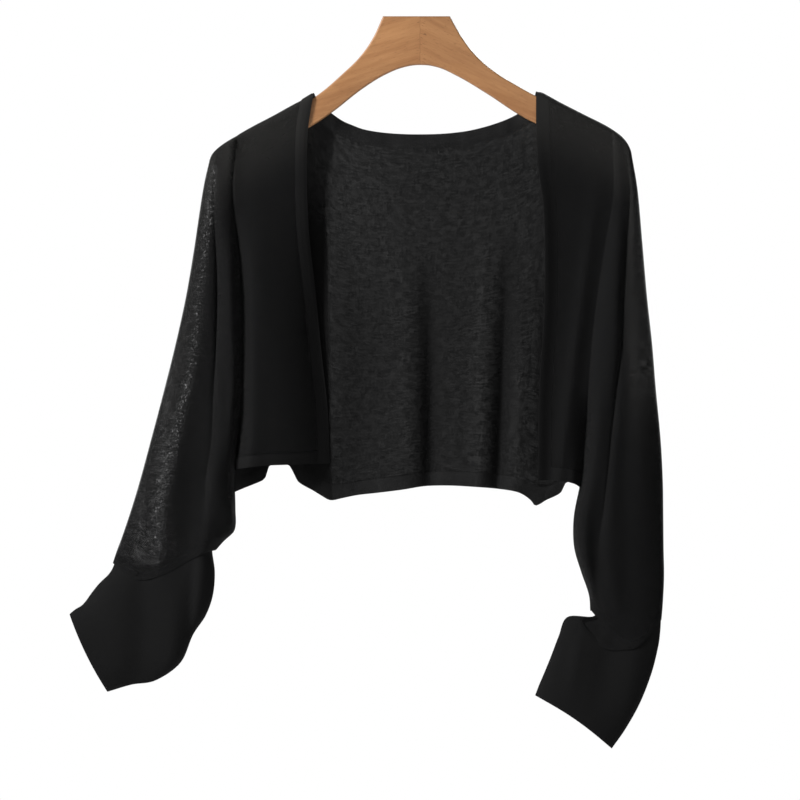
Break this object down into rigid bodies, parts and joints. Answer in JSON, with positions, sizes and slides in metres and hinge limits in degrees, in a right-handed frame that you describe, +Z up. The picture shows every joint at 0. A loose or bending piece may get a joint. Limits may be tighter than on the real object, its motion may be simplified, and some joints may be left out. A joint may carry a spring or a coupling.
{
  "type": "cropped cardigan on a wooden hanger",
  "caption": "Short open-front batwing knit cardigan with plain bands and long plain cuff sections, hanging on a flat wooden hanger.",
  "frame": {"origin": "middle of the hanger's flat top, where the part is held", "axes": "+X to the viewer's right, -Y towards the viewer (the garment's front), +Z up"},
  "size_m": [0.5946, 0.0434, 0.732],
  "materials": {
    "knit": "fine black knit, slightly sheer, soft low sheen",
    "plain_band": "smooth opaque black knit, matte",
    "wood": "pale lacquered wood, satin"
  },
  "bodies": {
    "root": {"back": "knit", "band_front_left": "plain_band", "band_front_right": "plain_band", "band_neck": "plain_band", "cuff_left": "plain_band", "cuff_right": "plain_band", "front_left": "knit", "front_right": "knit", "hanger": "wood", "hem_back": "plain_band", "hem_front_left": "plain_band", "hem_front_right": "plain_band", "sleeve_left": "knit", "sleeve_right": "knit"}
  },
  "joints": []
}
